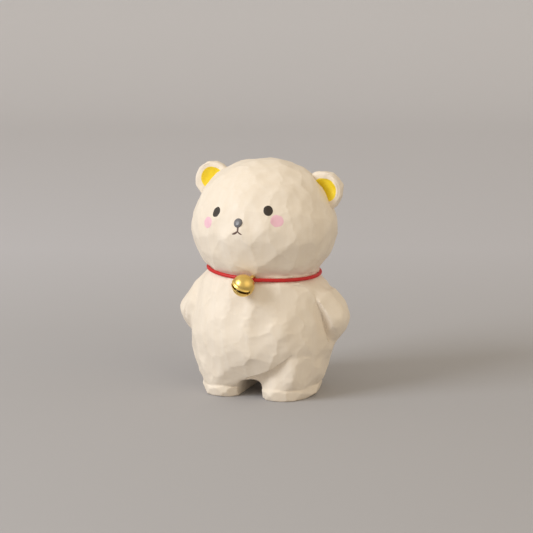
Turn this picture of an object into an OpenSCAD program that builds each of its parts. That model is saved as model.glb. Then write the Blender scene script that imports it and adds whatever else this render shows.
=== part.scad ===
// Carved wooden bear with a brass bell on a red neck cord.
// The bear stands on Z = 0 and faces -Y. Head, body, arms and legs are one block of light wood, cut to
// flat facets with a knife. The ears are separate discs glued into slots. All lengths are in millimetres.

/* [Head] */
// Half width of the head across the cheeks
cheek_rx = 32.6; // [32:0.1:33]
// Half depth of the head at the cheeks
cheek_ry = 30; // [29:0.1:30.5]
// Half width of the crown
crown_rx = 30; // [29:0.1:30.5]
// Height of the top of the head
figure_h = 103; // [102:0.5:104]

/* [Ears] */
// Radius of an ear disc
ear_r = 8.4; // [8:0.1:8.8]
// Thickness of an ear disc, front to back
ear_t = 5.5; // [4.8:0.1:6]
// Radius of the hollow scooped in an ear's front
hollow_r = 5.5; // [5:0.1:5.8]
// Depth of the hollow
hollow_depth = 2.2; // [1.5:0.1:2.6]

/* [Face] */
// Diameter of a painted eye
eye_d = 4; // [3.4:0.1:4.6]
// Diameter of the glossy nose
nose_d = 3.9; // [3.4:0.1:4.4]
// Width of a mouth stroke
mouth_w = 0.8; // [0.6:0.05:1]
// Width of a pink cheek
cheek_w = 5.6; // [4.8:0.1:6.2]

/* [Body] */
// Half width of the belly
belly_rx = 33.2; // [32.5:0.1:33.8]
// Half depth of the belly
belly_ry = 30.5; // [29.5:0.1:31]
// Reach of each arm from the middle of the body
arm_reach = 39.6; // [38.8:0.1:40.2]
// Width of the arch between the feet
arch_w = 11.5; // [10:0.1:13]
// Height of the arch between the feet
arch_h = 8.5; // [7.5:0.1:9]

/* [Collar] */
// Thickness of the red cord
cord_d = 1.6; // [1.4:0.05:1.7]
// Radius of the cord's loop, at its centreline
cord_loop_r = 24.7; // [24.6:0.05:24.9]

/* [Bell] */
// Outside diameter of the bell
bell_d = 9.8; // [9:0.1:10]
// Thickness of the bell's sheet brass
bell_wall = 0.45; // [0.4:0.05:0.6]
// Width of the slit across the bell's bottom
slit_w = 0.7; // [0.5:0.05:0.9]
// Diameter of the loose steel ball in the bell
pellet_d = 3; // [2.6:0.1:3.4]

/* [Hidden] */

// Thickness of a coat of paint
paint_t = 0.15;
// Glue line around an ear in its slot
glue_gap = 0.05;

// The head and the collar lean a little to the bear's left, about the middle of the neck
neck_z = 54.1;
neck_lean = 3;

// A flat blank with soft corners serves as the ear; its front face lies here
ear_front_y = 3;
ear_edge = 1.3;
left_ear_at = [25.7, ear_front_y + ear_t / 2, 89.4];
right_ear_at = [-25.8, ear_front_y + ear_t / 2, 91.7];
// The hollow is part of a ball, a little off the disc's centre: [sideways, up]
left_hollow_at = [0.7, 0.15];
right_hollow_at = [0.3, 0.75];
hollow_ball_r = (hollow_r * hollow_r + hollow_depth * hollow_depth) / (2 * hollow_depth);

// Distance of the cord's centreline from the bottom of the neck groove
cord_seat = 1.4;
// The bell's loop lifts the cord off its seat, over a short arc
cord_lift = 1.35;
cord_lift_arc = 14;

// Where the bell hangs: angle round the neck from the front, then how its axis leans and turns
bell_angle = 8.5;
bell_heading = -16;
bell_lean = -76;
bell_spin = 12;
loop_r = 1.5;
loop_wire_d = 0.6;
loop_sunk = 0.25;
// The cord lies in the far side of the loop, this far from the loop's centre
loop_slack = 0.23;
bell_drop = bell_d / 2 + loop_r - loop_sunk + loop_slack;
slit_turn = 14;
slit_end_z = -1.7;
slit_hole_d = 1.6;
pellet_play = 0.05;

// Golden angle, which spreads the knife facets evenly
golden = 137.508;

// ---- knife-cut wood ----

function unit(v) = v / norm(v);

// Furthest reach of a set of ellipsoids, each [centre, radii], in direction n
function reach(blobs, n) =
    max([for (b = blobs) b[0] * n + norm([b[1].x * n.x, b[1].y * n.y, b[1].z * n.z])]);

// Directions of the knife cuts: a golden spiral, each turned a little by the carver's hand
function cut_directions(count, seed) =
    let (wobble = rands(-0.06, 0.06, 3 * count, seed))
    [for (i = [0:count - 1])
        let (z = 1 - (2 * i + 1) / count, r = sqrt(1 - z * z), a = i * golden + seed)
        unit([r * cos(a) + wobble[3 * i], r * sin(a) + wobble[3 * i + 1], z + wobble[3 * i + 2]])];

module half_space(n, distance) {
    size = 300;
    rotate([0, acos(n.z), atan2(n.y, n.x)])
        translate([-size / 2, -size / 2, distance - size])
            cube(size);
}

// A set of ellipsoids cut to flat facets, as a knife leaves them
module whittled(blobs, count, seed, grow = 0) {
    depth = 0.5;
    directions = cut_directions(count, seed);
    cuts = rands(0, depth, count, seed + 1);
    hull()
        intersection_for(i = [0:count - 1])
            half_space(directions[i], reach(blobs, directions[i]) - cuts[i] + grow);
}

// ---- the block: head, body, arms and feet ----

crown_rz = 23;
head_blobs = [
    [[0, 0, 73], [cheek_rx, cheek_ry, 26]],
    [[0, 0, 66], [29.3, 29.3, 19.5]],
    [[0, 0.5, figure_h - crown_rz], [crown_rx, 27, crown_rz]],
    [[0, -24, 73], [6, 7.5, 7]]
];
belly_blobs = [
    [[0, 0, 27], [belly_rx, belly_ry, 26]],
    [[0, 0, 50], [26, 26.3, 12.5]],
    [[0, 0, 47], [29.8, 24, 7]],
    [[-9, 0, 12], [17.5, 24, 7]],
    [[-12, -1.5, 5.5], [14.6, 21.2, 1]]
];
// The foot's rim is a flat band; the leg rises from it into the belly
foot_blobs = [
    [[13, -2, 0], [12.3, 19.6, 0]],
    [[13, -2, 4.5], [13, 20.8, 0.6]]
];
leg_blobs = [
    [[13.2, -1.5, 5], [12.9, 20.7, 0.6]],
    [[15.5, 0, 19], [15, 24, 5]]
];
arm_blobs = [
    [[12, 0, 46], [10, 17, 8]],
    [[24, 0, 46.5], [6.5, 9, 6.5]],
    [[arm_reach - 9, 0, 34.5], [9, 11, 8]],
    [[28.3, 1, 28.2], [6.8, 9, 6.3]]
];
// Bottom line of the V that parts an arm from the belly, and the directions of the V's two faces
crease_top = [25.6, -13.2, 52.5];
crease_foot = [33.6, -5.4, 18.2];
crease_arm_face = [0.97, -0.25, 0];
crease_belly_face = [-0.2, -0.98, 0];

module head_blank(grow = 0) {
    whittled(head_blobs, 240, 11, grow);
}

// The V opens forwards; a shift outwards makes it start lower down
module arm_crease(shift) {
    reach = 25;
    faces = [[1, 4, 2], [0, 3, 5], [0, 1, 2, 3], [0, 5, 4, 1], [2, 4, 5, 3]];
    translate([shift, 0, 0])
        hull()
            polyhedron([
                crease_top, crease_foot,
                crease_foot + reach * crease_arm_face, crease_top + reach * crease_arm_face,
                crease_foot + reach * crease_belly_face, crease_top + reach * crease_belly_face
            ], faces);
}

module leg_arch() {
    translate([0, 0, arch_h - arch_w / 2])
        rotate([90, 0, 0])
            cylinder(d = arch_w, h = 200, center = true, $fn = 48);
    translate([-arch_w / 2, -100, -10])
        cube([arch_w, 200, arch_h - arch_w / 2 + 10]);
}

// Knife-cut V around the neck; the cord rests between its walls
module neck_groove() {
    groove_w = 12.7;
    groove_depth = 8;
    bottom_r = cord_loop_r - cord_seat;
    rotate_extrude($fn = 96)
        polygon([[bottom_r, 0], [bottom_r + groove_depth, groove_w / 2],
            [bottom_r + groove_depth, -groove_w / 2]]);
}

module carved_body() {
    color("#EADFCB")
        difference() {
            union() {
                head_blank();
                whittled(belly_blobs, 240, 23);
                for (side = [0, 1])
                    mirror([side, 0, 0]) {
                        whittled(foot_blobs, 44, 31 + side);
                        whittled(leg_blobs, 70, 37 + side);
                        whittled(arm_blobs, 90, 41 + side);
                    }
            }
            translate([-150, -150, -300])
                cube(300);
            leg_arch();
            arm_crease(0);
            mirror([1, 0, 0])
                arm_crease(3.4);
            at_neck()
                neck_groove();
            translate(left_ear_at)
                ear_disc(glue_gap);
            translate(right_ear_at)
                ear_disc(glue_gap);
        }
}

module at_neck() {
    translate([0, 0, neck_z])
        rotate([0, neck_lean, 0])
            children();
}

// ---- ears ----

// Round blank with softened rims, its axis along Y
module ear_disc(grow = 0) {
    flat_r = ear_r + grow - ear_edge;
    rotate([90, 0, 0])
        rotate_extrude($fn = 96)
            union() {
                translate([0, -ear_t / 2])
                    square([flat_r, ear_t]);
                for (side = [-1, 1])
                    translate([flat_r, side * (ear_t / 2 - ear_edge)])
                        circle(ear_edge, $fn = 32);
                translate([0, ear_edge - ear_t / 2])
                    square([ear_r + grow, ear_t - 2 * ear_edge]);
            }
}

// Ball whose lower part is the hollow in an ear's front
module hollow_ball(at, grow = 0) {
    translate([at[0], -ear_t / 2 - hollow_ball_r + hollow_depth, at[1]])
        sphere(hollow_ball_r + grow, $fn = 96);
}

module ear(hollow_at) {
    color("#EFE5D3")
        difference() {
            ear_disc();
            hollow_ball(hollow_at);
        }
}

// Coat of yellow paint that lines the hollow
module ear_paint(hollow_at) {
    color("#F2C62B")
        difference() {
            intersection() {
                hollow_ball(hollow_at);
                translate([hollow_at[0], 0, hollow_at[1]])
                    rotate([90, 0, 0])
                        cylinder(r = ear_r, h = ear_t, center = true, $fn = 96);
            }
            hollow_ball(hollow_at, -paint_t);
        }
}

// ---- painted face ----

// Even coat of paint on the head's facets, kept only inside the given shape
module paint_on_head() {
    difference() {
        intersection() {
            head_blank(paint_t);
            children();
        }
        head_blank();
    }
}

// Upright oval seen along a line from the head's axis, azimuth counted from the front to the left
module face_spot(azimuth, height, wide, tall) {
    paint_on_head()
        rotate([0, 0, azimuth])
            translate([0, 0, height])
                rotate([90, 0, 0])
                    linear_extrude(60)
                        scale([wide, tall])
                            circle(d = 1, $fn = 40);
}

module left_eye() {
    color("#372D24")
        face_spot(23.4, 83.9, eye_d, eye_d);
}

module right_eye() {
    color("#372D24")
        face_spot(-26.6, 82.2, eye_d, eye_d);
}

module left_cheek() {
    color("#F3BFC8")
        face_spot(30.6, 79.7, cheek_w, 0.84 * cheek_w);
}

module right_cheek() {
    color("#F3BFC8")
        face_spot(-34, 77.4, cheek_w, 0.84 * cheek_w);
}

// Drop of glossy paint, domed
module nose() {
    nose_at = [-1.1, -29, 78.7];
    color("#77767A")
        difference() {
            translate(nose_at)
                rotate([-20, 0, 0])
                    scale([1, 0.5, 0.94])
                        sphere(d = nose_d, $fn = 48);
            head_blank();
        }
}

module stroke(from, to) {
    hull()
        for (end = [from, to])
            translate(end)
                circle(d = mouth_w, $fn = 20);
}

// A short stem under the nose that parts into two strokes
module mouth() {
    stem_top = [-0.9, 76.3];
    stem_foot = [-0.8, 75.3];
    color("#5A463C")
        paint_on_head()
            rotate([90, 0, 0])
                linear_extrude(60) {
                    stroke(stem_top, stem_foot);
                    stroke(stem_foot, [-3.3, 74]);
                    stroke(stem_foot, [1.1, 74.1]);
                }
}

// ---- collar ----

ring_open = 25;
ring_steps = 64;
strand_lift = cord_d / 2 + 0.08;
knot_y = cord_loop_r + 3.8;
knot_z = -0.3;
coil_half = 1.75;
coil_turns = 2;
coil_steps = 14;

function lifted_r(angle) =
    let (off = min(1, abs(180 - bell_angle - angle) / cord_lift_arc))
    cord_loop_r + cord_lift * pow(cos(90 * off), 2);
function ring_point(angle) = lifted_r(angle) * [sin(angle), cos(angle), 0];
function bezier(a, b, c, d, t) =
    a * pow(1 - t, 3) + 3 * b * t * pow(1 - t, 2) + 3 * c * t * t * (1 - t) + d * pow(t, 3);
function coil_point(t) =
    let (a = -360 * coil_turns * (1 - t))
    [-coil_half + 2 * coil_half * t, knot_y - 2 * strand_lift * sin(a), knot_z + 2 * strand_lift * cos(a)];

// The cord's centreline: a free tail, two turns round the other end, once round the neck, a free tail
coil_start = coil_point(0);
coil_end = coil_point(1);
ring_start = ring_point(ring_open);
ring_end = ring_point(360 - ring_open);
straight_start = [-coil_half - 1, knot_y, knot_z];
start_tail = [for (t = [0:0.2:0.8])
    bezier(coil_start + [-3.2, 7.3, -5.4], coil_start + [-2.2, 7.4, -1],
        coil_start + [-0.4, 3.4, 0.6], coil_start, t)];
coil = [for (i = [0:coil_turns * coil_steps]) coil_point(i / (coil_turns * coil_steps))];
leaving = [for (t = [0.15:0.15:0.9])
    bezier(coil_end, coil_end + [0.3, -1.6, 0], ring_start - 3 * [cos(ring_open), -sin(ring_open), 0],
        ring_start, t)];
ring = [for (i = [0:ring_steps]) ring_point(ring_open + (360 - 2 * ring_open) * i / ring_steps)];
arriving = [for (t = [0.15:0.15:0.9])
    bezier(ring_end, ring_end + 3 * [cos(ring_open), sin(ring_open), 0], straight_start - [2.5, 0.5, 0],
        straight_start, t)];
end_tail = [for (t = [0:0.2:1])
    bezier(straight_start, [2, knot_y, knot_z], [5, knot_y, knot_z], [8.5, knot_y + 4, -2], t)];
cord_path = concat(start_tail, coil, leaving, ring, arriving, end_tail);

// A round bar of diameter d that follows the path
module sweep(path, d) {
    sides = 12;
    last = len(path) - 1;
    tangents = [for (i = [0:last]) unit(path[min(i + 1, last)] - path[max(i - 1, 0)])];
    normals = [for (i = 0, n = unit(cross(tangents[0], [0, 0.1, 1])); i <= last;
        i = i + 1, n = i <= last ? unit(n - (n * tangents[i]) * tangents[i]) : n) n];
    points = [for (i = [0:last]) for (k = [0:sides - 1])
        let (a = 360 * k / sides)
        path[i] + d / 2 * (cos(a) * normals[i] + sin(a) * cross(tangents[i], normals[i]))];
    walls = [for (i = [0:last - 1]) for (k = [0:sides - 1])
        let (a = i * sides + k, b = i * sides + (k + 1) % sides)
        [a, a + sides, b + sides, b]];
    caps = [[for (k = [0:sides - 1]) k], [for (k = [sides - 1:-1:0]) last * sides + k]];
    polyhedron(points, concat(walls, caps));
}

module neck_cord() {
    color("#B21E20")
        at_neck()
            sweep(cord_path, cord_d);
}

// ---- bell ----

// Places a bell that hangs straight down from the origin on the cord
module on_cord() {
    at_neck()
        translate((cord_loop_r + cord_lift) * [sin(bell_angle), -cos(bell_angle), 0])
            rotate([0, 0, bell_heading])
                rotate([bell_lean, 0, 0])
                    rotate([0, 0, bell_spin])
                        children();
}

// Hollow ball with a slit across its bottom that ends in two round holes
module bell_shell() {
    color("#D9A93A")
        on_cord()
            translate([0, 0, -bell_drop])
                difference() {
                    sphere(d = bell_d, $fn = 96);
                    sphere(d = bell_d - 2 * bell_wall, $fn = 96);
                    rotate([0, 0, slit_turn]) {
                        translate([-bell_d, -slit_w / 2, slit_end_z - bell_d])
                            cube([2 * bell_d, slit_w, bell_d]);
                        translate([-bell_d, 0, slit_end_z])
                            rotate([0, 90, 0])
                                cylinder(d = slit_hole_d, h = 2 * bell_d, $fn = 32);
                    }
                }
}

// Wire ring soldered into the top of the bell
module bell_loop() {
    color("#D9A93A")
        on_cord()
            difference() {
                translate([0, 0, -loop_slack])
                    rotate([0, 90, 0])
                        rotate_extrude($fn = 64)
                            translate([loop_r, 0])
                                circle(d = loop_wire_d, $fn = 24);
                translate([0, 0, -bell_drop])
                    sphere(d = bell_d, $fn = 96);
            }
}

module bell_pellet() {
    color("#9A9A98")
        on_cord()
            translate([0, 0, -bell_drop - bell_d / 2 + bell_wall + pellet_d / 2 + pellet_play])
                sphere(d = pellet_d, $fn = 48);
}

carved_body();
translate(left_ear_at) ear(left_hollow_at);  // left_ear
translate(right_ear_at) ear(right_hollow_at);  // right_ear
translate(left_ear_at) ear_paint(left_hollow_at);  // left_ear_paint
translate(right_ear_at) ear_paint(right_hollow_at);  // right_ear_paint
left_eye();
right_eye();
nose();
mouth();
left_cheek();
right_cheek();
neck_cord();
bell_shell();
bell_loop();
bell_pellet();
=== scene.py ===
"""Carved wooden bear with a brass bell on a red neck cord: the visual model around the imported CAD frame."""

import math

import bmesh
import bpy
import numpy as np
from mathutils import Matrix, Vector
from mathutils.bvhtree import BVHTree


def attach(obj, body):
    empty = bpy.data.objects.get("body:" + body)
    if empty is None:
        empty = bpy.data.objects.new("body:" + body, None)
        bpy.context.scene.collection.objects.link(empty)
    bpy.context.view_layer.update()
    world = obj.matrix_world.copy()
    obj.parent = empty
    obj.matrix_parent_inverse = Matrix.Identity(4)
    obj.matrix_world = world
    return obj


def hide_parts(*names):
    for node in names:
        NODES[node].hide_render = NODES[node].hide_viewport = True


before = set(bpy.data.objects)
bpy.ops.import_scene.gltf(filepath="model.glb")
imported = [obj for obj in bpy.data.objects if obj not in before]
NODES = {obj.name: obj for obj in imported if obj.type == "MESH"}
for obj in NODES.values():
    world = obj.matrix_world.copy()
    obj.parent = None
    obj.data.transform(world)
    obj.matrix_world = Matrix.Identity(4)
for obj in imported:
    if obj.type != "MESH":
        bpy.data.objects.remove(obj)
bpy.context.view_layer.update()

# Lengths below are in mm unless a comment says metres; the frame and Blender use metres
MM = 0.001
# Corners of a CAD mesh that lie closer than this are one corner
WELD = 0.002


# ---------------------------------------------------------------- mesh helpers


def new_object(name, points, faces, material):
    """A smooth-shaded mesh object from points in metres, with one material."""
    mesh = bpy.data.meshes.new(name)
    mesh.from_pydata([tuple(p) for p in points], [], faces)
    mesh.validate()
    mesh.polygons.foreach_set("use_smooth", [True] * len(mesh.polygons))
    mesh.materials.append(material)
    mesh.update()
    obj = bpy.data.objects.new(name, mesh)
    bpy.context.scene.collection.objects.link(obj)
    return obj


def remeshed(node, voxel):
    """The node's own mesh, rebuilt in even small faces: (points in mm, faces)."""
    welded = bmesh.new()
    welded.from_mesh(NODES[node].data)
    bmesh.ops.remove_doubles(welded, verts=welded.verts, dist=WELD * MM)
    bmesh.ops.triangulate(welded, faces=welded.faces)
    bmesh.ops.recalc_face_normals(welded, faces=welded.faces)
    source = bpy.data.meshes.new("remesh_source")
    welded.to_mesh(source)
    welded.free()
    obj = bpy.data.objects.new("remesh_source", source)
    bpy.context.scene.collection.objects.link(obj)
    modifier = obj.modifiers.new("even", "REMESH")
    modifier.mode = "VOXEL"
    modifier.voxel_size = voxel * MM
    depsgraph = bpy.context.evaluated_depsgraph_get()
    mesh = bpy.data.meshes.new_from_object(obj.evaluated_get(depsgraph))
    points = read_points(mesh) / MM
    faces = [tuple(p.vertices) for p in mesh.polygons]
    bpy.data.objects.remove(obj, do_unlink=True)
    for spent in (source, mesh):
        bpy.data.meshes.remove(spent)
    return points, faces


def read_points(mesh):
    """Vertex positions as an n x 3 array."""
    flat = np.empty(3 * len(mesh.vertices))
    mesh.vertices.foreach_get("co", flat)
    return flat.reshape(-1, 3)


def edge_pairs(faces):
    """Every edge of the faces once, as two index arrays."""
    pairs = set()
    for face in faces:
        for a, b in zip(face, face[1:] + face[:1]):
            pairs.add((a, b) if a < b else (b, a))
    pairs = np.array(sorted(pairs))
    return pairs[:, 0], pairs[:, 1]


def smoothed(values, edges, steps):
    """Values per vertex (one row each), moved half way to their neighbours' mean in each step."""
    a, b = edges
    count = len(values)
    degree = np.bincount(a, minlength=count) + np.bincount(b, minlength=count)
    for _ in range(steps):
        total = np.empty_like(values)
        for axis in range(values.shape[1]):
            column = values[:, axis]
            total[:, axis] = np.bincount(a, weights=column[b], minlength=count)
            total[:, axis] += np.bincount(b, weights=column[a], minlength=count)
        mean = total / degree[:, None]
        values = values + 0.5 * (mean - values)
    return values


def vertex_normals(points, faces):
    """Unit normals per vertex, from triangles and quads weighted by their area."""
    corners = np.array([face if len(face) == 4 else (*face, face[2]) for face in faces])
    across = points[corners[:, 2]] - points[corners[:, 0]]
    along = points[corners[:, 3]] - points[corners[:, 1]]
    face_normals = np.cross(across, along)
    normals = np.zeros_like(points)
    count = len(points)
    for corner in range(4):
        for axis in range(3):
            share = np.bincount(corners[:, corner], weights=face_normals[:, axis], minlength=count)
            normals[:, axis] += share
    return unit_rows(normals)


def unit_rows(v):
    """Each row at length 1."""
    return v / np.maximum(np.linalg.norm(v, axis=1, keepdims=True), 1e-12)


def spread_out(points, spacing, seed):
    """Indices of points at least the spacing apart, in a seeded random order."""
    order = np.random.default_rng(seed).permutation(len(points))
    cells = np.floor(points / spacing).astype(int)
    taken = {}
    chosen = []
    for i in order:
        cx, cy, cz = cells[i]
        near = [
            j
            for dx in (-1, 0, 1)
            for dy in (-1, 0, 1)
            for dz in (-1, 0, 1)
            for j in taken.get((cx + dx, cy + dy, cz + dz), ())
        ]
        if near and np.min(np.linalg.norm(points[near] - points[i], axis=1)) < spacing:
            continue
        taken.setdefault((cx, cy, cz), []).append(i)
        chosen.append(i)
    return chosen


def wander(points, seed, wavelength, amount):
    """A smooth random shift per point, so that lines cut by formula meander like hand-made ones."""
    rng = np.random.default_rng(seed)
    shift = np.zeros_like(points)
    for axis in range(3):
        for _ in range(5):
            direction = rng.normal(size=3)
            direction /= np.linalg.norm(direction)
            turns = 2 * math.pi / (wavelength * rng.uniform(0.7, 1.5))
            shift[:, axis] += np.sin(points @ direction * turns + rng.uniform(0, 2 * math.pi))
    return shift * amount / math.sqrt(5 / 2)


# How far a knife stroke reaches, in spacings; how squarely a point must face it, as a cosine; the height
# that stands for no stroke at all; and the highest that a point may rise above the strokes' own level
STROKE_REACH = 2
STROKE_FACING = 0.6
UNCUT = 9.0
RIDGE_TOP = 0.5


def knife_relief(points, normals, spacing, seed, across_r, along_r, depth, ledge):
    """Height over a surface cut by many shallow, dished knife strokes.

    Each stroke is a dish of its own radius across and along, sunk by its own depth; the surface is the
    lowest of them. Where two strokes meet there is a crisp ridge and a tiny step of up to the ledge height.
    """
    rng = np.random.default_rng(seed + 1)
    stray = 0.45
    nearly_level = 0.2
    lowest = np.full(len(points), UNCUT)
    step = np.zeros(len(points))
    # The borders between strokes wander in long and in short waves
    meander = points + wander(points, seed, 0.9 * spacing, 0.055 * spacing)
    meander += wander(points, seed + 7, 0.3 * spacing, 0.02 * spacing)
    for i in spread_out(points, spacing, seed):
        near = np.nonzero(np.linalg.norm(points - points[i], axis=1) < STROKE_REACH * spacing)[0]
        reach = meander[near] - points[i]
        normal = normals[i]
        down = np.array([rng.normal(0, stray), rng.normal(0, stray), -1.0])
        along = down - (down @ normal) * normal
        if np.linalg.norm(along) < nearly_level:
            along = np.cross(normal, [1.0, 0.3, 0.0])
        along /= np.linalg.norm(along)
        across = np.cross(along, normal)
        u = reach @ across
        v = reach @ along
        height = u * u / (2 * rng.uniform(*across_r)) + v * v / (2 * rng.uniform(*along_r))
        height -= rng.uniform(*depth)
        height[normals[near] @ normal < STROKE_FACING] = UNCUT
        drop = rng.uniform(-ledge, ledge)
        wins = height < lowest[near]
        lowest[near[wins]] = height[wins]
        step[near[wins]] = drop
    missed = lowest == UNCUT
    lowest[missed] = 0
    step[missed] = 0
    return np.minimum(lowest + step, RIDGE_TOP)


# ---------------------------------------------------------------- material helpers


def material(name):
    """A node material: (material, node tree, its Principled shader)."""
    mat = bpy.data.materials.new(name)
    mat.use_nodes = True
    tree = mat.node_tree
    return mat, tree, tree.nodes["Principled BSDF"]


def noise(tree, scale, detail=3.0, stretch=(1, 1, 1), roughness=0.5):
    """Noise over the object's own coordinates in metres; returns its value socket."""
    coords = tree.nodes.new("ShaderNodeTexCoord")
    mapping = tree.nodes.new("ShaderNodeMapping")
    mapping.inputs["Scale"].default_value = stretch
    tree.links.new(coords.outputs["Object"], mapping.inputs["Vector"])
    texture = tree.nodes.new("ShaderNodeTexNoise")
    texture.inputs["Scale"].default_value = scale
    texture.inputs["Detail"].default_value = detail
    texture.inputs["Roughness"].default_value = roughness
    tree.links.new(mapping.outputs["Vector"], texture.inputs["Vector"])
    return texture.outputs["Fac"]


def ramp(tree, value, stops):
    """Colour ramp over a value socket; stops are (position, linear RGB)."""
    node = tree.nodes.new("ShaderNodeValToRGB")
    tree.links.new(value, node.inputs["Fac"])
    elements = node.color_ramp.elements
    while len(elements) < len(stops):
        elements.new(0.5)
    for element, (position, rgb) in zip(elements, stops):
        element.position = position
        element.color = (*rgb, 1)
    return node.outputs["Color"]


def mixed(tree, factor, a, b, blend="MIX"):
    """Colour mix; each of a and b is a socket or linear RGB, the factor a socket or number."""
    node = tree.nodes.new("ShaderNodeMix")
    node.data_type = "RGBA"
    node.blend_type = blend
    for socket, value in ((node.inputs["Factor"], factor), (node.inputs["A"], a), (node.inputs["B"], b)):
        feed(tree, socket, value)
    return node.outputs["Result"]


def feed(tree, socket, value):
    """Gives a socket its input: another socket, a number or linear RGB."""
    if isinstance(value, bpy.types.NodeSocket):
        tree.links.new(value, socket)
    elif isinstance(value, (int, float)):
        socket.default_value = value
    else:
        socket.default_value = (*value, 1)


def spread(tree, value, low, high, out_low=0.0, out_high=1.0):
    """Maps a value socket from one range to another, clamped."""
    node = tree.nodes.new("ShaderNodeMapRange")
    tree.links.new(value, node.inputs["Value"])
    for name, number in (("From Min", low), ("From Max", high), ("To Min", out_low), ("To Max", out_high)):
        node.inputs[name].default_value = number
    return node.outputs["Result"]


def bump(tree, shader, layers):
    """Chains bumps into the shader's normal; each layer is (height socket, strength, distance in mm)."""
    previous = None
    for height, strength, distance in layers:
        node = tree.nodes.new("ShaderNodeBump")
        node.inputs["Strength"].default_value = strength
        node.inputs["Distance"].default_value = distance * MM
        tree.links.new(height, node.inputs["Height"])
        if previous is not None:
            tree.links.new(previous, node.inputs["Normal"])
        previous = node.outputs["Normal"]
    tree.links.new(previous, shader.inputs["Normal"])


# ---------------------------------------------------------------- materials


def painted_wood():
    """Matt cream stain over pale wood, with upright grain."""
    mat, tree, shader = material("cream_wood")
    cloud = noise(tree, 45, 2)
    grain = noise(tree, 260, 4, (1, 1, 0.07), 0.6)
    base = mixed(tree, cloud, (0.825, 0.732, 0.612), (0.895, 0.812, 0.71))
    streaks = spread(tree, grain, 0.35, 0.7, 0.0, 0.35)
    toned = mixed(tree, streaks, base, (0.76, 0.65, 0.51))
    tree.links.new(toned, shader.inputs["Base Color"])
    tree.links.new(spread(tree, grain, 0.3, 0.7, 0.5, 0.66), shader.inputs["Roughness"])
    shader.inputs["Specular IOR Level"].default_value = 0.35
    fine = noise(tree, 1400, 2, (1, 1, 0.3))
    bump(tree, shader, [(grain, 0.35, 0.12), (fine, 0.12, 0.04)])
    return mat


def flat_paint(name, dark, light, rough, grainy=0.25):
    """Brushed-on paint: two close tones, the wood's grain telling through."""
    mat, tree, shader = material(name)
    cloud = noise(tree, 420, 3)
    grain = noise(tree, 260, 4, (1, 1, 0.07), 0.6)
    tree.links.new(mixed(tree, cloud, dark, light), shader.inputs["Base Color"])
    tree.links.new(spread(tree, cloud, 0.3, 0.7, rough - 0.05, rough + 0.07), shader.inputs["Roughness"])
    bump(tree, shader, [(grain, grainy, 0.1), (noise(tree, 2200, 2), 0.1, 0.03)])
    return mat


WOOD = painted_wood()
YELLOW = flat_paint("yellow_paint", (0.99, 0.71, 0.025), (1.0, 0.83, 0.05), 0.42)
EYE = flat_paint("eye_paint", (0.022, 0.015, 0.010), (0.040, 0.028, 0.020), 0.5)
CHEEK = flat_paint("cheek_paint", (0.84, 0.48, 0.58), (0.92, 0.60, 0.68), 0.6)
MOUTH = flat_paint("mouth_paint", (0.10, 0.055, 0.045), (0.16, 0.09, 0.07), 0.55)
NOSE = flat_paint("nose_paint", (0.13, 0.13, 0.145), (0.19, 0.19, 0.21), 0.25, 0.05)
CORD = flat_paint("red_cord", (0.50, 0.006, 0.008), (0.66, 0.014, 0.014), 0.5, 0.1)


def brass():
    """Stamped brass, softly polished and a little dented."""
    mat, tree, shader = material("brass")
    cloud = noise(tree, 300, 3)
    tree.links.new(mixed(tree, cloud, (0.80, 0.55, 0.13), (0.92, 0.68, 0.24)), shader.inputs["Base Color"])
    shader.inputs["Metallic"].default_value = 1.0
    tree.links.new(spread(tree, noise(tree, 900, 3), 0.3, 0.7, 0.27, 0.42), shader.inputs["Roughness"])
    bump(tree, shader, [(noise(tree, 260, 2), 0.25, 0.08), (noise(tree, 1500, 2), 0.08, 0.03)])
    return mat


def steel():
    """Plain tumbled steel, for the ball in the bell."""
    mat, tree, shader = material("steel")
    cloud = noise(tree, 800, 3)
    tree.links.new(mixed(tree, cloud, (0.42, 0.42, 0.41), (0.6, 0.6, 0.58)), shader.inputs["Base Color"])
    shader.inputs["Metallic"].default_value = 1.0
    tree.links.new(spread(tree, noise(tree, 1200, 3), 0.3, 0.7, 0.25, 0.45), shader.inputs["Roughness"])
    bump(tree, shader, [(noise(tree, 2000, 2), 0.1, 0.03)])
    return mat


BRASS = brass()
STEEL = steel()


# ---------------------------------------------------------------- camera, light and floor

CAMERA_AZIMUTH = math.radians(20)
CAMERA_ELEVATION = math.radians(10.5)
# In metres
CAMERA_DISTANCE = 0.7
CAMERA_TARGET = Vector((0, 0, 0.055))
CAMERA_LENS = 107.2
CAMERA_SENSOR = 36
CAMERA_SHIFT = 0.0041


def direction_to(azimuth, elevation):
    """Unit vector from the bear, in radians; azimuth 0 is in front of it and 90 degrees on its left."""
    flat = math.cos(elevation)
    return Vector((math.sin(azimuth) * flat, -math.cos(azimuth) * flat, math.sin(elevation)))


def add_camera():
    """Long lens at the photo's viewing angle."""
    data = bpy.data.cameras.new("camera")
    data.lens = CAMERA_LENS
    data.sensor_width = CAMERA_SENSOR
    data.shift_x = CAMERA_SHIFT
    data.clip_start = 0.01
    camera = bpy.data.objects.new("camera", data)
    back = direction_to(CAMERA_AZIMUTH, CAMERA_ELEVATION)
    camera.location = CAMERA_TARGET + CAMERA_DISTANCE * back
    camera.rotation_euler = back.to_track_quat("Z", "Y").to_euler()
    bpy.context.scene.collection.objects.link(camera)
    bpy.context.scene.camera = camera


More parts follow.
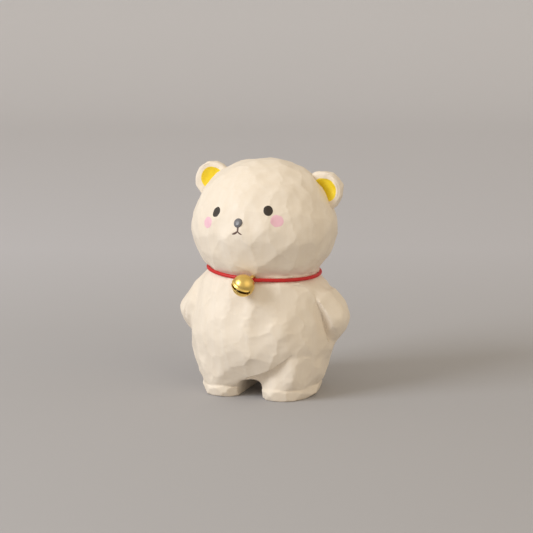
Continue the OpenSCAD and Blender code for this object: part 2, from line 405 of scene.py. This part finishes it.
def area_light(name, azimuth, elevation, distance, size, watts, colour):
    """Square soft light aimed at the bear; angles in degrees, distance and size in metres."""
    data = bpy.data.lights.new(name, "AREA")
    data.size = size
    data.energy = watts
    data.color = colour
    light = bpy.data.objects.new(name, data)
    away = direction_to(math.radians(azimuth), math.radians(elevation))
    light.location = Vector((0, 0, 0.05)) + distance * away
    light.rotation_euler = away.to_track_quat("Z", "Y").to_euler()
    bpy.context.scene.collection.objects.link(light)


def add_studio():
    """A cool key light from the bear's right, a warm fill from its left, and a warm pale room."""
    area_light("key", -42, 28, distance=1.3, size=0.6, watts=10.2, colour=(0.93, 0.96, 1.0))
    area_light("fill", 65, 25, distance=1.6, size=1.4, watts=3.5, colour=(1.0, 0.84, 0.57))
    world = bpy.data.worlds.new("studio")
    world.use_nodes = True
    background = world.node_tree.nodes["Background"]
    background.inputs["Color"].default_value = (1.0, 0.90, 0.755, 1)
    background.inputs["Strength"].default_value = 0.665
    bpy.context.scene.world = world
    bpy.context.scene.view_settings.view_transform = "Standard"


# Seamless paper, in metres: its half width, its front edge, where it starts to curve up, the curve's radius
# and the height of its top; then its colours, each at a share of the reach behind the bear: painted light,
# lighter towards the back where less light reaches it, and bluer there to offset the warm room light
PAPER_HALF_WIDTH = 3.0
PAPER_FRONT = -1.5
PAPER_CURVE_START = 1.2
PAPER_CURVE_R = 0.8
PAPER_TOP = 2.0
PAPER_REACH = 2.0
# Painted light: the paper's colour grows lighter and bluer towards the back, standing in for light on the
# backdrop
PAPER_PAINTED_LIGHT = [
    (0.0, (0.43, 0.425, 0.44)),
    (0.06, (0.46, 0.456, 0.475)),
    (0.18, (0.56, 0.56, 0.60)),
    (0.8, (0.69, 0.697, 0.745)),
]


def add_floor():
    """Seamless paper: a flat floor that curves up into a backdrop behind the bear, coloured with painted
    light that brightens it towards the back.
    """
    mat, tree, shader = material("paper")
    coords = tree.nodes.new("ShaderNodeTexCoord")
    split = tree.nodes.new("ShaderNodeSeparateXYZ")
    tree.links.new(coords.outputs["Object"], split.inputs["Vector"])
    # Painted light: the paper's colour brightens towards the back where less light falls on it
    tone = ramp(tree, spread(tree, split.outputs["Y"], 0.0, PAPER_REACH), PAPER_PAINTED_LIGHT)
    paper = mixed(tree, noise(tree, 6, 2), tone, (0.5, 0.5, 0.5), "SOFT_LIGHT")
    tree.links.new(paper, shader.inputs["Base Color"])
    shader.inputs["Roughness"].default_value = 0.9
    shader.inputs["Specular IOR Level"].default_value = 0.2
    bump(tree, shader, [(noise(tree, 900, 2), 0.05, 0.05)])
    profile = [(PAPER_FRONT, 0.0), (PAPER_CURVE_START, 0.0)]
    steps = 16
    for step in range(1, steps + 1):
        angle = step / steps * math.pi / 2
        y = PAPER_CURVE_START + PAPER_CURVE_R * math.sin(angle)
        profile.append((y, PAPER_CURVE_R * (1 - math.cos(angle))))
    profile.append((PAPER_CURVE_START + PAPER_CURVE_R, PAPER_TOP))
    points = [(x, y, z) for y, z in profile for x in (-PAPER_HALF_WIDTH, PAPER_HALF_WIDTH)]
    faces = [(2 * i, 2 * i + 1, 2 * i + 3, 2 * i + 2) for i in range(len(profile) - 1)]
    floor = new_object("floor", points, faces, mat)
    floor.rotation_euler = (0, 0, CAMERA_AZIMUTH)


# ---------------------------------------------------------------- closed skins


def skin(name, loops, finish, ring=False):
    """A closed surface through equal loops of points (m x n x 3), capped at the ends or joined in a ring."""
    count, around, _ = loops.shape
    faces = []
    for i in range(count if ring else count - 1):
        a = i * around
        b = (i + 1) % count * around
        for k in range(around):
            j = (k + 1) % around
            faces.append((a + k, a + j, b + j, b + k))
    if not ring:
        faces.append(tuple(reversed(range(around))))
        faces.append(tuple(range((count - 1) * around, count * around)))
    return new_object(name, loops.reshape(-1, 3) * MM, faces, finish)


def surface_tree(points, faces):
    """The surface in a form that rays can be cast at."""
    return BVHTree.FromPolygons([tuple(p) for p in points], faces)


def landed(tree, start, direction):
    """Where a ray from start meets the surface, and the outward normal there."""
    hit, normal, _, _ = tree.ray_cast(Vector(start), Vector(direction))
    if hit is None:
        raise RuntimeError(f"no surface under {tuple(start)}")
    if normal.dot(Vector(direction)) > 0:
        normal = -normal
    return np.array(hit), np.array(normal)


# How deep the underside of a coat of paint lies in the wood, and how far off the rays to the wood start
PAINT_SINK = 0.08
RAY_START = 30


def paint_disc(name, tree, centre, look, wide, tall, thick, bulge, finish, seed):
    """A dab of paint on a surface: an uneven oval, seen along look, with its edge let into the surface.

    The height falls from thick in the middle to nothing at the rim, as (1 - r^bulge)^0.5.
    """
    look = np.array(look) / np.linalg.norm(look)
    side = np.cross(look, [0, 0, 1.0])
    side /= np.linalg.norm(side)
    up = np.cross(side, look)
    rng = np.random.default_rng(seed)
    segments = 64
    rings = 18
    angles = np.arange(segments) / segments * 2 * math.pi
    uneven = np.ones(segments)
    for wave in (2, 3, 5, 7):
        uneven += rng.normal(0, 0.014) * np.cos(wave * angles + rng.uniform(0, 6.3))
    tops = []
    bottoms = []
    for radius in np.sin(np.linspace(0.03, 1, rings) * math.pi / 2):
        top = []
        bottom = []
        for angle, swell in zip(angles, uneven):
            x = radius * swell * wide / 2 * math.cos(angle)
            z = radius * swell * tall / 2 * math.sin(angle)
            hit, normal = landed(tree, centre - RAY_START * look + x * side + z * up, look)
            top.append(hit + normal * thick * math.sqrt(max(0, 1 - radius**bulge)))
            bottom.append(hit - normal * PAINT_SINK)
        tops.append(top)
        bottoms.append(bottom)
    return skin(name, np.array(tops + bottoms[::-1]), finish)


def sweep(path, radius_at, sides):
    """Loops of a round bar along a path; radius_at(step, angles) gives each loop's radii."""
    tangents = unit_rows(np.gradient(path, axis=0))
    normal = np.cross(tangents[0], (0, 0.1, 1))
    angles = np.arange(sides) / sides * 2 * math.pi
    loops = []
    for i, (point, tangent) in enumerate(zip(path, tangents)):
        normal = normal - (normal @ tangent) * tangent
        normal /= np.linalg.norm(normal)
        binormal = np.cross(tangent, normal)
        radii = radius_at(i, angles)[:, None]
        spokes = np.cos(angles)[:, None] * normal + np.sin(angles)[:, None] * binormal
        loops.append(point + radii * spokes)
    return np.array(loops)


def resampled(path, step):
    """The same path through Catmull-Rom curves, with points an even step apart."""
    dense = []
    for i in range(len(path) - 1):
        a = path[max(i - 1, 0)]
        b, c = path[i], path[i + 1]
        d = path[min(i + 2, len(path) - 1)]
        for t in np.linspace(0, 1, 12, endpoint=False):
            square = (2 * a - 5 * b + 4 * c - d) * t**2
            cube = (3 * b - a - 3 * c + d) * t**3
            dense.append(0.5 * (2 * b + (c - a) * t + square + cube))
    dense.append(path[-1])
    dense = np.array(dense)
    length = np.concatenate([[0], np.cumsum(np.linalg.norm(np.diff(dense, axis=0), axis=1))])
    marks = np.linspace(0, length[-1], int(length[-1] / step))
    return np.stack([np.interp(marks, length, dense[:, k]) for k in range(3)], axis=1)


def finish_piece(obj, slot, bodies, *nodes):
    """Hides the CAD nodes that the piece stands in for and hangs the piece on its body; the finish (slot) is
    not used.
    """
    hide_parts(*nodes)
    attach(obj, bodies)


# ---------------------------------------------------------------- carved block


def blended(points, edges):
    """Points with the places in BLENDED smoothed into one swell each."""
    full = smoothed(points, edges, 120)
    for centre, radius in BLENDED:
        away = np.linalg.norm(points - np.array(centre), axis=1) / radius
        share = np.clip(2 - 2 * away, 0, 1)[:, None]
        points = points + share * (full - points)
    return points


def calm(points, faces, edges, steps):
    """Smooths broad faces but keeps creases and corners.

    Returns the points, and for each a number from 0 at a sharp crease to 1 on open ground.
    """
    normals = vertex_normals(points, faces)
    broad = unit_rows(smoothed(normals, edges, 12))
    bend = 1 - np.sum(normals * broad, axis=1)
    bend_begins = 0.012
    bend_range = 0.03
    open_ground = 1 - np.clip((bend - bend_begins) / bend_range, 0, 1)
    band = 0.6 * FOOT_TOP
    open_ground *= np.clip((points[:, 2] - band) / band, 0.15, 1)
    open_ground = smoothed(open_ground[:, None], edges, 3)
    soft = smoothed(points, edges, 2)
    return soft + open_ground * (smoothed(soft, edges, steps) - soft), open_ground[:, 0]


# Cuts between two parts of the block: points along the line, how deep the cut is, how wide the sloping face
# beside it is, and on which side of the line that face lies
LEG_CREASE = {
    "line": (
        (-0.8, -23.5, 9.3),
        (3.5, -23.8, 10.6),
        (7.8, -24.3, 12.3),
        (11.5, -24.4, 14.2),
        (15.0, -24.1, 16.6),
        (18.3, -23.2, 19.3),
        (22.3, -21.8, 23.1),
    ),
    "deep": 3.2,
    "face": 8.5,
    "face_side": (0.45, -0.1, -0.9),
}
ARM_CREASE = {
    "line": (
        (32.6, -4.6, 23.0),
        (31.9, -7.6, 27.5),
        (30.6, -9.0, 33.2),
        (29.2, -10.1, 38.7),
        (27.7, -11.2, 43.6),
        (26.2, -10.8, 49.0),
    ),
    "deep": 1.7,
    "face": 4.0,
    "face_side": (0.9, 0.3, 0.1),
}
# Places that the carver left as one smooth swell: centre and radius
BLENDED = (
    ((29.0, -1.0, 49.5), 12.0),
    ((-30.0, -1.0, 49.5), 12.0),
    ((13.0, -24.0, 16.0), 9.0),
    ((22.5, -14.6, 50.0), 6.0),
)
# Top of the flat band round the feet
FOOT_TOP = 7.0


def crease_depth(points, line, deep, face, face_side):
    """How far each point sinks under one slanting cut: a steep wall on one side, a long slope on the other.

    The cut runs in within the first part of its line and runs out slowly over the last part.
    """
    wall = 0.5
    run_in = 0.12
    run_out = 0.6
    line = resampled(np.array(line), 0.5)
    depth = np.zeros(len(points))
    low = line.min(axis=0) - face
    high = line.max(axis=0) + face
    near = np.nonzero(np.all((points > low) & (points < high), axis=1))[0]
    apart = points[near][:, None, :] - line[None, :, :]
    distance = np.linalg.norm(apart, axis=2)
    nearest = np.argmin(distance, axis=1)
    distance = distance[np.arange(len(near)), nearest]
    place = nearest / (len(line) - 1)
    side = apart[np.arange(len(near)), nearest] @ np.array(face_side)
    fade = np.clip(np.minimum(place / run_in, (1 - place) / run_out), 0, 1)
    width = np.where(side > 0, face * (0.35 + 0.65 * fade), wall)
    depth[near] = deep * fade * np.clip(1 - distance / width, 0, 1)
    return depth


def carve_body():
    """The block, its creases and its dished knife strokes; returns the surface in a form for rays."""
    voxel = 0.35
    points, faces = remeshed("carved_body", voxel)
    edges = edge_pairs(faces)
    points = blended(points, edges)
    points, open_ground = calm(points, faces, edges, 26)
    normals = vertex_normals(points, faces)
    broad = unit_rows(smoothed(normals, edges, 14))
    relief = knife_relief(
        points,
        broad,
        spacing=9.2,
        seed=5,
        across_r=(24, 43),
        along_r=(40, 120),
        depth=(0.0, 0.32),
        ledge=0.03,
    )
    mean_relief = 0.24
    depth = open_ground * (mean_relief - relief)
    for crease in (LEG_CREASE, ARM_CREASE):
        cut = crease_depth(points, **crease)
        depth = np.where(cut > 0, np.maximum(depth, cut), depth)
    points = points - broad * depth[:, None]
    points[:, 2] = np.maximum(points[:, 2], 0)
    obj = new_object("carved_wood", points * MM, faces, WOOD)
    finish_piece(obj, "painted_wood", "figure", "carved_body")
    return surface_tree(points, faces)


# ---------------------------------------------------------------- ears

# Each ear's disc, with the offset in x and z of its yellow hollow from the disc's centre
EAR_R = 8.4
EARS = {
    "left": {"centre": np.array([25.7, 5.75, 89.4]), "hollow": (0.7, 0.15), "seed": 61},
    "right": {"centre": np.array([-25.8, 5.75, 91.7]), "hollow": (0.3, 0.75), "seed": 62},
}
HOLLOW_R = 5.5
# The upper head as an oval; how tightly the part of an ear inside it fills its slot, and over what distance
# outside the oval the knife cuts begin
HEAD_CENTRE = np.array([1.3, 0.5, 80.0])
HEAD_RADII = np.array([30.8, 28.0, 24.0])
EAR_SNUG = 0.45
EAR_ROOT_FADE = 1.6


def cut_rim(points, ear, free):
    """The ear's round rim cut into knife flats; free is 0 where the head holds the ear and 1 well outside."""
    rng = np.random.default_rng(ear["seed"])
    flats = 15
    shallowest = 0.15
    deepest = 0.4
    for k in range(flats):
        angle = (k + rng.uniform(-0.3, 0.3)) / flats * 2 * math.pi
        outward = np.array([math.cos(angle), rng.uniform(-0.25, 0.25), math.sin(angle)])
        outward /= np.linalg.norm(outward)
        limit = EAR_R - rng.uniform(shallowest, deepest)
        past = np.maximum((points - ear["centre"]) @ outward - limit, 0)
        points = points - free * past[:, None] * outward
    return points


def carve_ear(side):
    """An ear disc with knife flats round its rim and fine strokes all over; returns it in a form for rays."""
    ear = EARS[side]
    points, faces = remeshed(f"{side}_ear", 0.2)
    edges = edge_pairs(faces)
    points = smoothed(points, edges, 5)
    outside = (np.linalg.norm((points - HEAD_CENTRE) / HEAD_RADII, axis=1) - 1) * HEAD_RADII.mean()
    free = np.clip(outside / EAR_ROOT_FADE, 0, 1)[:, None]
    points = smoothed(cut_rim(points, ear, free), edges, 2)
    normals = vertex_normals(points, faces)
    deepest = 0.06
    relief = knife_relief(
        points,
        normals,
        spacing=3.6,
        seed=ear["seed"],
        across_r=(10, 24),
        along_r=(14, 40),
        depth=(0.0, deepest),
        ledge=0.01,
    )
    points = points + normals * (free * (relief - deepest)[:, None] + (1 - free) * EAR_SNUG)
    obj = new_object(f"{side}_ear_wood", points * MM, faces, WOOD)
    finish_piece(obj, "painted_wood", "figure", f"{side}_ear")
    return surface_tree(points, faces)


def paint_ear(side, tree):
    """The coat of yellow paint in the ear's hollow."""
    ear = EARS[side]
    wide = 2 * HOLLOW_R - 0.1
    paint = paint_disc(
        f"{side}_ear_yellow",
        tree,
        centre=ear["centre"] + np.array([ear["hollow"][0], 0, ear["hollow"][1]]),
        look=(0, 1, 0),
        wide=wide,
        tall=wide,
        thick=0.05,
        bulge=8,
        finish=YELLOW,
        seed=ear["seed"],
    )
    finish_piece(paint, "yellow_paint", "figure", f"{side}_ear_paint")


# ---------------------------------------------------------------- face

# Azimuth in degrees from the front to the bear's left, then height, width and tallness; the nose is at x, z
EYES = {"left": (23.4, 83.9, 4.05, 4.05), "right": (-26.6, 82.2, 4.05, 4.05)}
CHEEKS = {"left": (30.6, 79.7, 5.7, 4.9), "right": (-34, 77.4, 5.7, 4.9)}
NOSE_AT = (-1.1, 78.7)


def face_dab(name, tree, spot, thick, bulge, finish, seed):
    """A dab of paint at a spot round the head, laid on square to the head's axis."""
    azimuth, height, wide, tall = spot
    a = math.radians(azimuth)
    look = np.array([-math.sin(a), math.cos(a), 0])
    centre = np.array([0, 0, height]) - RAY_START * look
    return paint_disc(name, tree, centre, look, wide, tall, thick, bulge, finish, seed)


def paint_stroke(tree, start, end, width, ends, sag):
    """Loops of one brush stroke between two (x, z) points on the front of the head, bent sideways by sag.

    The stroke has its full width in the middle and the two shares of it in ends at its start and end.
    """
    thick = 0.1
    start = np.array(start)
    end = np.array(end)
    direction = (end - start) / np.linalg.norm(end - start)
    across = np.array([-direction[1], direction[0]])
    steps = 22
    loops = []
    for t in np.linspace(0, 1, steps):
        place = start + t * (end - start) + across * sag * 4 * t * (1 - t)
        swell = ends[0] + (1 - ends[0]) * min(1, t / 0.2)
        shrink = ends[1] + (1 - ends[1]) * min(1, (1 - t) / 0.3)
        half = width / 2 * swell * shrink
        top = []
        bottom = []
        for q in np.linspace(-1, 1, 9):
            x, z = place + across * half * q
            hit, normal = landed(tree, (x, -2 * RAY_START, z), (0, 1, 0))
            top.append(hit + normal * thick * math.sqrt(1 - q**4))
            bottom.append(hit - normal * PAINT_SINK)
        loops.append(top + bottom[::-1])
    return np.array(loops)


def paint_face(tree):
    """Eyes, cheeks, nose and mouth; the mouth is one stem that parts into two strokes."""
    for side, seed in (("left", 71), ("right", 72)):
        eye = face_dab(f"{side}_eye_dot", tree, EYES[side], thick=0.16, bulge=5, finish=EYE, seed=seed)
        finish_piece(eye, "eye_paint", "figure", f"{side}_eye")
        blush = f"{side}_cheek_blush"
        cheek = face_dab(blush, tree, CHEEKS[side], thick=0.03, bulge=8, finish=CHEEK, seed=seed + 10)
        finish_piece(cheek, "cheek_paint", "figure", f"{side}_cheek")
    centre = np.array([NOSE_AT[0], -RAY_START, NOSE_AT[1]])
    look = (0.05, 1, 0)
    nose = paint_disc("nose_dome", tree, centre, look, 4.0, 3.7, thick=0.95, bulge=2.4, finish=NOSE, seed=75)
    finish_piece(nose, "nose_paint", "figure", "nose")
    stem = paint_stroke(tree, (-0.9, 77.4), (-0.8, 75.2), width=0.85, ends=(1, 0.9), sag=0.05)
    finish_piece(skin("mouth_line", stem, MOUTH), "mouth_paint", "figure", "mouth")
    strokes = {
        "mouth_stroke_a": paint_stroke(tree, (-0.75, 75.35), (-3.3, 74.0), 0.85, ends=(0.8, 0.5), sag=0.2),
        "mouth_stroke_b": paint_stroke(tree, (-0.85, 75.35), (1.15, 74.05), 0.6, ends=(0.8, 0.4), sag=-0.15),
    }
    for name, loops in strokes.items():
        stroke = skin(name, loops, MOUTH)
        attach(stroke, "figure")


# ---------------------------------------------------------------- collar

# The neck's own frame: its height, and how far it leans to the bear's left
NECK_AT = np.array([0, 0, 54.1])
NECK_LEAN = math.radians(3)
# The loop round the neck: the bell's loop lifts it over an arc of so many degrees, and it opens at the knot
CORD_D = 1.6
CORD_LOOP_R = 24.7
CORD_LIFT = 1.35
CORD_LIFT_ARC = 14.0
BELL_ANGLE = 8.5
RING_OPEN = 25.0
# The barrel knot behind the neck: one end makes two turns round the other; the coil is twice its half long
STRAND_LIFT = CORD_D / 2 + 0.08
KNOT_Y = CORD_LOOP_R + 3.8
KNOT_Z = -0.3
COIL_HALF = 1.75
COIL_TURNS = 2


def neck_turn():
    """Matrix of the neck's lean."""
    c, s = math.cos(NECK_LEAN), math.sin(NECK_LEAN)
    return np.array([[c, 0, s], [0, 1, 0], [-s, 0, c]])


def at_neck(points):
    """From the neck's own leaning frame to the figurine's."""
    return np.asarray(points) @ neck_turn().T + NECK_AT


def ring_point(degrees):
    """A point on the loop round the neck, by its angle from the middle of the back."""
    off = min(1, abs(180 - BELL_ANGLE - degrees) / CORD_LIFT_ARC)
    radius = CORD_LOOP_R + CORD_LIFT * math.cos(math.radians(90 * off)) ** 2
    a = math.radians(degrees)
    return radius * np.array([math.sin(a), math.cos(a), 0])


def coil_point(t):
    """A point on the knot's coil, which runs from t = 0 to 1."""
    a = math.radians(-360 * COIL_TURNS * (1 - t))
    lift = 2 * STRAND_LIFT
    x = -COIL_HALF + 2 * COIL_HALF * t
    return np.array([x, KNOT_Y - lift * math.sin(a), KNOT_Z + lift * math.cos(a)])


def bezier(a, b, c, d, t):
    """Point at t from 0 to 1 on the curve from a to d, drawn towards b and c."""
    return a * (1 - t) ** 3 + 3 * b * t * (1 - t) ** 2 + 3 * c * t * t * (1 - t) + d * t**3


def cord_path():
    """The cord's centreline: a tail, two turns round the other end, once round the neck, a tail."""
    start, end = coil_point(0), coil_point(1)
    ring_start, ring_end = ring_point(RING_OPEN), ring_point(360 - RING_OPEN)
    straight = np.array([-COIL_HALF - 1, KNOT_Y, KNOT_Z])
    c, s = math.cos(math.radians(RING_OPEN)), math.sin(math.radians(RING_OPEN))
    start_tail = (start + [-3.2, 7.3, -5.4], start + [-2.2, 7.4, -1], start + [-0.4, 3.4, 0.6], start)
    leaving = (end, end + [0.3, -1.6, 0], ring_start - 3 * np.array([c, -s, 0]), ring_start)
    arriving = (ring_end, ring_end + 3 * np.array([c, s, 0]), straight - [2.5, 0.5, 0], straight)
    end_tail = [np.array(p) for p in ((2, KNOT_Y, KNOT_Z), (5, KNOT_Y, KNOT_Z), (8.5, KNOT_Y + 4, -2))]
    coil_steps = 28
    ring_steps = 64
    path = [bezier(*start_tail, t) for t in np.arange(0, 0.9, 0.2)]
    path += [coil_point(i / coil_steps) for i in range(coil_steps + 1)]
    path += [bezier(*leaving, t) for t in np.arange(0.15, 0.95, 0.15)]
    path += [ring_point(RING_OPEN + (360 - 2 * RING_OPEN) * i / ring_steps) for i in range(ring_steps + 1)]
    path += [bezier(*arriving, t) for t in np.arange(0.15, 0.95, 0.15)]
    path += [bezier(straight, *end_tail, t) for t in np.arange(0, 1.01, 0.2)]
    return at_neck(path)


def make_cord():
    """Waxed three-strand cord, tied at the back in a barrel knot with two short tails."""
    step = 0.4
    pitch = 3.6
    strands = 3
    path = resampled(cord_path(), step)
    last = len(path) - 1

    def radius_at(i, angles):
        turn = 2 * math.pi * i * step / pitch
        ply = 0.94 + 0.06 * np.abs(np.cos(strands / 2 * (angles - turn)))
        taper = min(1.0, 0.55 + 0.25 * min(i, last - i))
        return CORD_D / 2 * ply * taper

    obj = skin("red_cord", sweep(path, radius_at, 24), CORD)
    finish_piece(obj, "red_cord", "collar", "neck_cord")


# ---------------------------------------------------------------- bell

BELL_R = 4.9
BELL_WALL = 0.45
# The ring on top, half its strap's thickness and width, and how far its middle hangs below the cord's
LOOP_R = 1.5
RING_R = 1.85
LOOP_WIRE = 0.3
LOOP_STRAP = 0.7
LOOP_SLACK = 0.23
# From the cord's middle down to the bell's, with the ring let into the bell
BELL_DROP = BELL_R + LOOP_R - 0.25 + LOOP_SLACK
# How the bell lies: turned round its cord, leant back on the chest, turned about its own axis
BELL_TURNS = (("Z", -16), ("X", -76), ("Z", 12))
# The slit's direction, how much wider it is than in CAD, and the lips and hollows pressed along it
SLIT_TURN = math.radians(14)
SLIT_WIDER = 0.2
LIP_HIGH = 0.3
HOLLOW_DEEP = 0.1
SKIN_DOWN = 0.1


def rotation(axis, degrees):
    """Matrix of a turn about X or Z."""
    a = math.radians(degrees)
    c, s = math.cos(a), math.sin(a)
    if axis == "X":
        return np.array([[1, 0, 0], [0, c, -s], [0, s, c]])
    return np.array([[c, -s, 0], [s, c, 0], [0, 0, 1]])


def bell_frame():
    """(matrix, origin) from the hanging bell's own frame to the neck's; the bell hangs down local -Z."""
    turn = np.eye(3)
    for axis, degrees in BELL_TURNS:
        turn = turn @ rotation(axis, degrees)
    a = math.radians(BELL_ANGLE)
    return turn, (CORD_LOOP_R + CORD_LIFT) * np.array([math.sin(a), -math.cos(a), 0])


def on_cord(points):
    """From the hanging bell's own frame to the figurine's."""
    turn, origin = bell_frame()
    return at_neck(np.asarray(points) @ turn.T + origin)


def off_cord(points):
    """The inverse of on_cord, shifted so that the bell's centre is the origin."""
    turn, origin = bell_frame()
    local = ((points - NECK_AT) @ neck_turn() - origin) @ turn
    return local + np.array([0, 0, BELL_DROP])


def hump(values, middle, width):
    """A smooth hump of height 1 round the middle."""
    return np.exp(-(((values - middle) / width) ** 2))


def make_bell():
    """Thin brass ball, its slit edged by rolled lips."""
    points, faces = remeshed("bell_shell", 0.11)
    edges = edge_pairs(faces)
    local = smoothed(off_cord(points), edges, 6)
    radius = np.linalg.norm(local, axis=1)
    inner_r = BELL_R - BELL_WALL
    middle = (BELL_R + inner_r) / 2
    outside = radius > middle
    target = np.where(outside, BELL_R, inner_r)
    clear_of_edges = np.clip((np.abs(radius - middle) - 0.08) / 0.06, 0, 1)
    c, s = math.cos(SLIT_TURN), math.sin(SLIT_TURN)
    across = -local[:, 0] * s + local[:, 1] * c
    off_slit = np.abs(across)
    below = np.clip((-1.0 - local[:, 2]) / 0.8, 0, 1)
    parted = SLIT_WIDER * below * hump(off_slit, 0.35, 0.9) * np.sign(across)
    lip = LIP_HIGH * below * hump(off_slit, 0.5, 0.4) * outside
    hollow = HOLLOW_DEEP * below * hump(off_slit, 1.5, 0.5) * outside
    wanted = radius + clear_of_edges * (target - radius) + lip - hollow - SKIN_DOWN * outside
    local = local * (wanted / radius)[:, None]
    local += parted[:, None] * np.array([-s, c, 0])
    obj = new_object("bell_brass", on_cord(local - np.array([0, 0, BELL_DROP])) * MM, faces, BRASS)
    finish_piece(obj, "brass", "bell", "bell_shell")


def make_bell_loop():
    """Flattened ring on the bell's top; a small collar of solder at its foot ends inside the bell's wall."""
    around = np.arange(72) / 72 * 2 * math.pi
    sides = np.arange(16) / 16 * 2 * math.pi
    foot_at = 1.5 * math.pi
    lowest = BELL_R - BELL_DROP - 0.8 * BELL_WALL
    loops = []
    for a in around:
        foot = hump(a, foot_at, 0.35)
        thick = LOOP_WIRE * (1 + 0.3 * foot)
        out = RING_R + thick * np.cos(sides)
        strap = LOOP_STRAP * (1 - 0.2 * foot) * np.sin(sides)
        height = np.maximum(out * math.sin(a) - LOOP_SLACK, lowest)
        loops.append(np.stack([strap, out * math.cos(a), height], axis=1))
    loops = on_cord(np.array(loops).reshape(-1, 3)).reshape(len(around), len(sides), 3)
    finish_piece(skin("bell_ring", loops, BRASS, ring=True), "brass", "bell", "bell_loop")


# ---------------------------------------------------------------- assembly

add_camera()
add_studio()
add_floor()
body_tree = carve_body()
for ear_side in EARS:
    paint_ear(ear_side, carve_ear(ear_side))
paint_face(body_tree)
make_cord()
make_bell()
make_bell_loop()
pellet = NODES["bell_pellet"].data.materials
pellet.clear()
pellet.append(STEEL)
